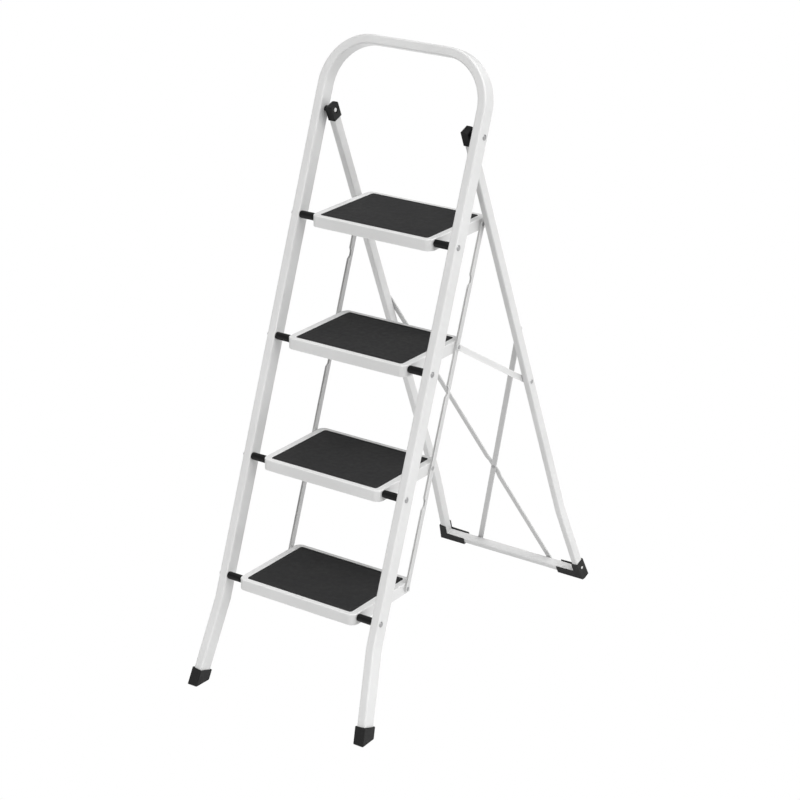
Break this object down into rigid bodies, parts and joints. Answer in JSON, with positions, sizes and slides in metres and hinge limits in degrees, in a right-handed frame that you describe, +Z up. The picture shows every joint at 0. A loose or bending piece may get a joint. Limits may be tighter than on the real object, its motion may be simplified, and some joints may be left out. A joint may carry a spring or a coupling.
{
  "type": "folding step ladder",
  "caption": "Folding platform step ladder: bent tube frame with hooped handle, pressed steps with rubber mats, side rods and link bars to a braced rear frame.",
  "frame": {"origin": "centre of the bounding box on the floor, ladder opened", "axes": "+Z up, +Y from the climber through the steps to the rear legs, +X to the climber's right"},
  "size_m": [0.459, 0.9322, 1.3185],
  "materials": {
    "white_paint": "satin powder coat",
    "tread_rubber": "matte, moulded",
    "black_rubber": "matte",
    "black_plastic": "satin moulded",
    "zinc_steel": "zinc plated, riveted ends"
  },
  "bodies": {
    "front_frame": {"front_frame": "white_paint", "front_foot_right": "black_rubber", "front_foot_left": "black_rubber", "axle_1": "zinc_steel", "axle_2": "zinc_steel", "axle_3": "zinc_steel", "axle_4": "zinc_steel", "sleeve_1_right": "black_plastic", "sleeve_1_left": "black_plastic", "sleeve_2_right": "black_plastic", "sleeve_2_left": "black_plastic", "sleeve_3_right": "black_plastic", "sleeve_3_left": "black_plastic", "sleeve_4_right": "black_plastic", "sleeve_4_left": "black_plastic", "hinge_pin_right": "zinc_steel", "hinge_pin_left": "zinc_steel"},
    "rear_frame": {"rear_frame": "white_paint", "rear_foot_right": "black_rubber", "rear_foot_left": "black_rubber", "brace_right_down": "white_paint", "brace_left_down": "white_paint", "brace_rivets": "zinc_steel", "hinge_cap_right": "black_plastic", "hinge_cap_left": "black_plastic", "link_leg_rivet_right": "zinc_steel", "link_leg_rivet_left": "zinc_steel"},
    "step_1": {"step_1": "white_paint", "mat_1": "tread_rubber"},
    "step_2": {"step_2": "white_paint", "mat_2": "tread_rubber"},
    "step_3": {"step_3": "white_paint", "mat_3": "tread_rubber"},
    "step_4": {"step_4": "white_paint", "mat_4": "tread_rubber"},
    "side_rods": {"side_rod_right": "white_paint", "side_rod_left": "white_paint", "side_rod_rivets": "zinc_steel"},
    "link_bars": {"link_bar_right": "white_paint", "link_bar_left": "white_paint", "link_tip_rivet_right": "zinc_steel", "link_tip_rivet_left": "zinc_steel"}
  },
  "joints": [
    {"name": "rear_fold", "type": "hinge", "parent": "front_frame", "child": "rear_frame", "pos_m": [0, -0.01325, 1.15858], "axis": [-1, 0, 0], "range_deg": [0, 40.2]},
    {"name": "step_1_fold", "type": "hinge", "parent": "front_frame", "child": "step_1", "pos_m": [0, -0.36954, 0.2297], "axis": [1, 0, 0], "range_deg": [0, 65.5]},
    {"name": "step_2_fold", "type": "hinge", "parent": "front_frame", "child": "step_2", "pos_m": [0, -0.28038, 0.47074], "axis": [1, 0, 0], "range_deg": [0, 65.5]},
    {"name": "step_3_fold", "type": "hinge", "parent": "front_frame", "child": "step_3", "pos_m": [0, -0.19121, 0.71178], "axis": [1, 0, 0], "range_deg": [0, 65.5]},
    {"name": "step_4_fold", "type": "hinge", "parent": "front_frame", "child": "step_4", "pos_m": [0, -0.10205, 0.95281], "axis": [1, 0, 0], "range_deg": [0, 65.5]},
    {"name": "side_rods_swing", "type": "hinge", "parent": "step_4", "child": "side_rods", "pos_m": [0, 0.06495, 0.94981], "axis": [-1, 0, 0], "range_deg": [0, 65.5]},
    {"name": "link_fold", "type": "hinge", "parent": "rear_frame", "child": "link_bars", "pos_m": [0, 0.23062, 0.55499], "axis": [-1, 0, 0], "range_deg": [0, 35.6]}
  ],
  "couplings": [
    {"joint": "step_1_fold", "follows": "rear_fold", "ratio": 1.6269},
    {"joint": "step_2_fold", "follows": "rear_fold", "ratio": 1.6269},
    {"joint": "step_3_fold", "follows": "rear_fold", "ratio": 1.6269},
    {"joint": "step_4_fold", "follows": "rear_fold", "ratio": 1.6269},
    {"joint": "side_rods_swing", "follows": "rear_fold", "ratio": 1.6269},
    {"joint": "link_fold", "follows": "rear_fold", "ratio": 0.88416}
  ]
}
